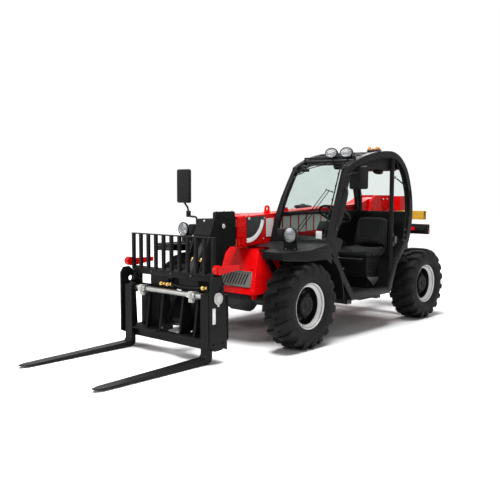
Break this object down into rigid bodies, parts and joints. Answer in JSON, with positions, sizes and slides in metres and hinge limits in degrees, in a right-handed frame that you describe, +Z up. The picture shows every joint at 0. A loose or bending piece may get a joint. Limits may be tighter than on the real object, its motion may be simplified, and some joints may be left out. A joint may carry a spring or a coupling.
{
  "type": "compact telehandler",
  "caption": "Compact telescopic handler with a side cab, an engine hood beside a central telescopic boom, four steered wheels and a fork carriage with two floating forks.",
  "frame": {"origin": "on the ground, under the middle of the overall length and width", "axes": "+Z up, +Y to the rear of the machine, +X to the cab side (the machine's left)"},
  "size_m": [1.84, 5.065, 2.0061],
  "materials": {
    "red_paint": "gloss",
    "black_paint": "satin",
    "dark_grey_paint": "satin",
    "yellow_paint": "gloss",
    "silver_rim": "satin",
    "tyre_rubber": "matt",
    "bright_steel": "satin",
    "cast_metal": "matt",
    "black_plastic": "matt",
    "dial_white": "gloss",
    "seat_fabric": "matt",
    "lamp_lens": "gloss",
    "amber_lens": "gloss",
    "tail_lens": "gloss",
    "window_glass": "clear"
  },
  "bodies": {
    "chassis": {"chassis": "red_paint", "front_axle": "dark_grey_paint", "rear_axle": "dark_grey_paint", "engine": "cast_metal", "counterweight": "black_paint", "fender_left": "black_paint", "fender_right": "black_paint", "cab_frame": "black_paint", "windscreen": "window_glass", "rear_window": "window_glass", "roof_pane": "window_glass", "side_window": "window_glass", "roof_guard": "black_paint", "seat_base": "black_plastic", "seat_cushion": "seat_fabric", "seat_back": "seat_fabric", "console": "black_plastic", "steering_wheel": "black_plastic", "nose_grille": "red_paint", "headlamps": "lamp_lens", "work_lamps": "lamp_lens", "beacon": "amber_lens", "mirrors": "black_plastic", "tail_lamps": "tail_lens", "safety_prop": "yellow_paint"},
    "steering_front_left": {"knuckle_front_left": "cast_metal"},
    "wheel_front_left": {"tyre_front_left": "tyre_rubber", "rim_front_left": "silver_rim"},
    "steering_front_right": {"knuckle_front_right": "cast_metal"},
    "wheel_front_right": {"tyre_front_right": "tyre_rubber", "rim_front_right": "silver_rim"},
    "steering_rear_left": {"knuckle_rear_left": "cast_metal"},
    "wheel_rear_left": {"tyre_rear_left": "tyre_rubber", "rim_rear_left": "silver_rim"},
    "steering_rear_right": {"knuckle_rear_right": "cast_metal"},
    "wheel_rear_right": {"tyre_rear_right": "tyre_rubber", "rim_rear_right": "silver_rim"},
    "boom": {"boom_outer": "red_paint", "angle_dial": "dial_white"},
    "boom_extension": {"boom_inner": "black_paint"},
    "carriage": {"carriage": "black_paint", "fork_shaft": "bright_steel", "load_guard": "black_paint", "lock_arms": "red_paint"},
    "fork_left": {"fork_left": "black_paint"},
    "fork_right": {"fork_right": "black_paint"},
    "lift_cylinder": {"lift_cylinder": "dark_grey_paint"},
    "lift_rod": {"lift_rod": "bright_steel"},
    "tilt_cylinder": {"tilt_cylinder": "dark_grey_paint"},
    "tilt_rod": {"tilt_rod": "bright_steel"},
    "hood": {"engine_hood": "red_paint", "air_precleaner": "black_plastic"}
  },
  "joints": [
    {"name": "steer_front_left", "type": "hinge", "parent": "chassis", "child": "steering_front_left", "pos_m": [0.56, -0.3025, 0.42], "axis": [0, 0, 1], "range_deg": [-30, 30]},
    {"name": "spin_front_left", "type": "hinge", "parent": "steering_front_left", "child": "wheel_front_left", "pos_m": [0.7515, -0.3025, 0.42], "axis": [1, 0, 0], "continuous": true},
    {"name": "steer_front_right", "type": "hinge", "parent": "chassis", "child": "steering_front_right", "pos_m": [-0.56, -0.3025, 0.42], "axis": [0, 0, 1], "range_deg": [-30, 30]},
    {"name": "spin_front_right", "type": "hinge", "parent": "steering_front_right", "child": "wheel_front_right", "pos_m": [-0.7515, -0.3025, 0.42], "axis": [1, 0, 0], "continuous": true},
    {"name": "steer_rear_left", "type": "hinge", "parent": "chassis", "child": "steering_rear_left", "pos_m": [0.56, 1.9975, 0.42], "axis": [0, 0, 1], "range_deg": [-30, 30]},
    {"name": "spin_rear_left", "type": "hinge", "parent": "steering_rear_left", "child": "wheel_rear_left", "pos_m": [0.7515, 1.9975, 0.42], "axis": [1, 0, 0], "continuous": true},
    {"name": "steer_rear_right", "type": "hinge", "parent": "chassis", "child": "steering_rear_right", "pos_m": [-0.56, 1.9975, 0.42], "axis": [0, 0, 1], "range_deg": [-30, 30]},
    {"name": "spin_rear_right", "type": "hinge", "parent": "steering_rear_right", "child": "wheel_rear_right", "pos_m": [-0.7515, 1.9975, 0.42], "axis": [1, 0, 0], "continuous": true},
    {"name": "boom_lift", "type": "hinge", "parent": "chassis", "child": "boom", "pos_m": [0, 2.2375, 1.36], "axis": [-1, 0, 0], "range_deg": [0, 65]},
    {"name": "boom_extend", "type": "slide", "parent": "boom", "child": "boom_extension", "axis": [0, -0.9986, -0.0523], "range_m": [0, 1.45]},
    {"name": "carriage_tilt", "type": "hinge", "parent": "boom_extension", "child": "carriage", "pos_m": [0, -1.1825, 0.29], "axis": [1, 0, 0], "range_deg": [-12, 114]},
    {"name": "fork_left_float", "type": "hinge", "parent": "carriage", "child": "fork_left", "pos_m": [0.525, -1.3025, 0.578], "axis": [-1, 0, 0], "range_deg": [0, 25]},
    {"name": "fork_right_float", "type": "hinge", "parent": "carriage", "child": "fork_right", "pos_m": [-0.525, -1.3025, 0.578], "axis": [-1, 0, 0], "range_deg": [0, 25]},
    {"name": "lift_cylinder_swing", "type": "hinge", "parent": "chassis", "child": "lift_cylinder", "pos_m": [0, 2.2165, 0.52174], "axis": [-1, 0, 0], "range_deg": [0, 32.5]},
    {"name": "lift_rod_slide", "type": "slide", "parent": "lift_cylinder", "child": "lift_rod", "axis": [0, -0.844, 0.5363], "range_m": [0, 0.64]},
    {"name": "tilt_cylinder_swing", "type": "hinge", "parent": "boom_extension", "child": "tilt_cylinder", "pos_m": [0, -0.7125, 1.168], "axis": [-1, 0, 0], "range_deg": [-1, 6]},
    {"name": "tilt_rod_slide", "type": "slide", "parent": "tilt_cylinder", "child": "tilt_rod", "axis": [0, -0.6044, -0.7967], "range_m": [-0.0505, 0.478]},
    {"name": "hood_open", "type": "hinge", "parent": "chassis", "child": "hood", "pos_m": [-0.1286, 0.9925, 1.26], "axis": [0, 1, 0], "range_deg": [0, 50]}
  ],
  "couplings": [
    {"joint": "steer_front_right", "follows": "steer_front_left", "ratio": 1},
    {"joint": "steer_rear_right", "follows": "steer_rear_left", "ratio": 1},
    {"joint": "lift_cylinder_swing", "follows": "boom_lift", "ratio": 0.5},
    {"joint": "lift_rod_slide", "follows": "boom_lift", "m_per_rad": 0.56},
    {"joint": "tilt_cylinder_swing", "follows": "carriage_tilt", "ratio": 0.05},
    {"joint": "tilt_rod_slide", "follows": "carriage_tilt", "m_per_rad": 0.24}
  ]
}
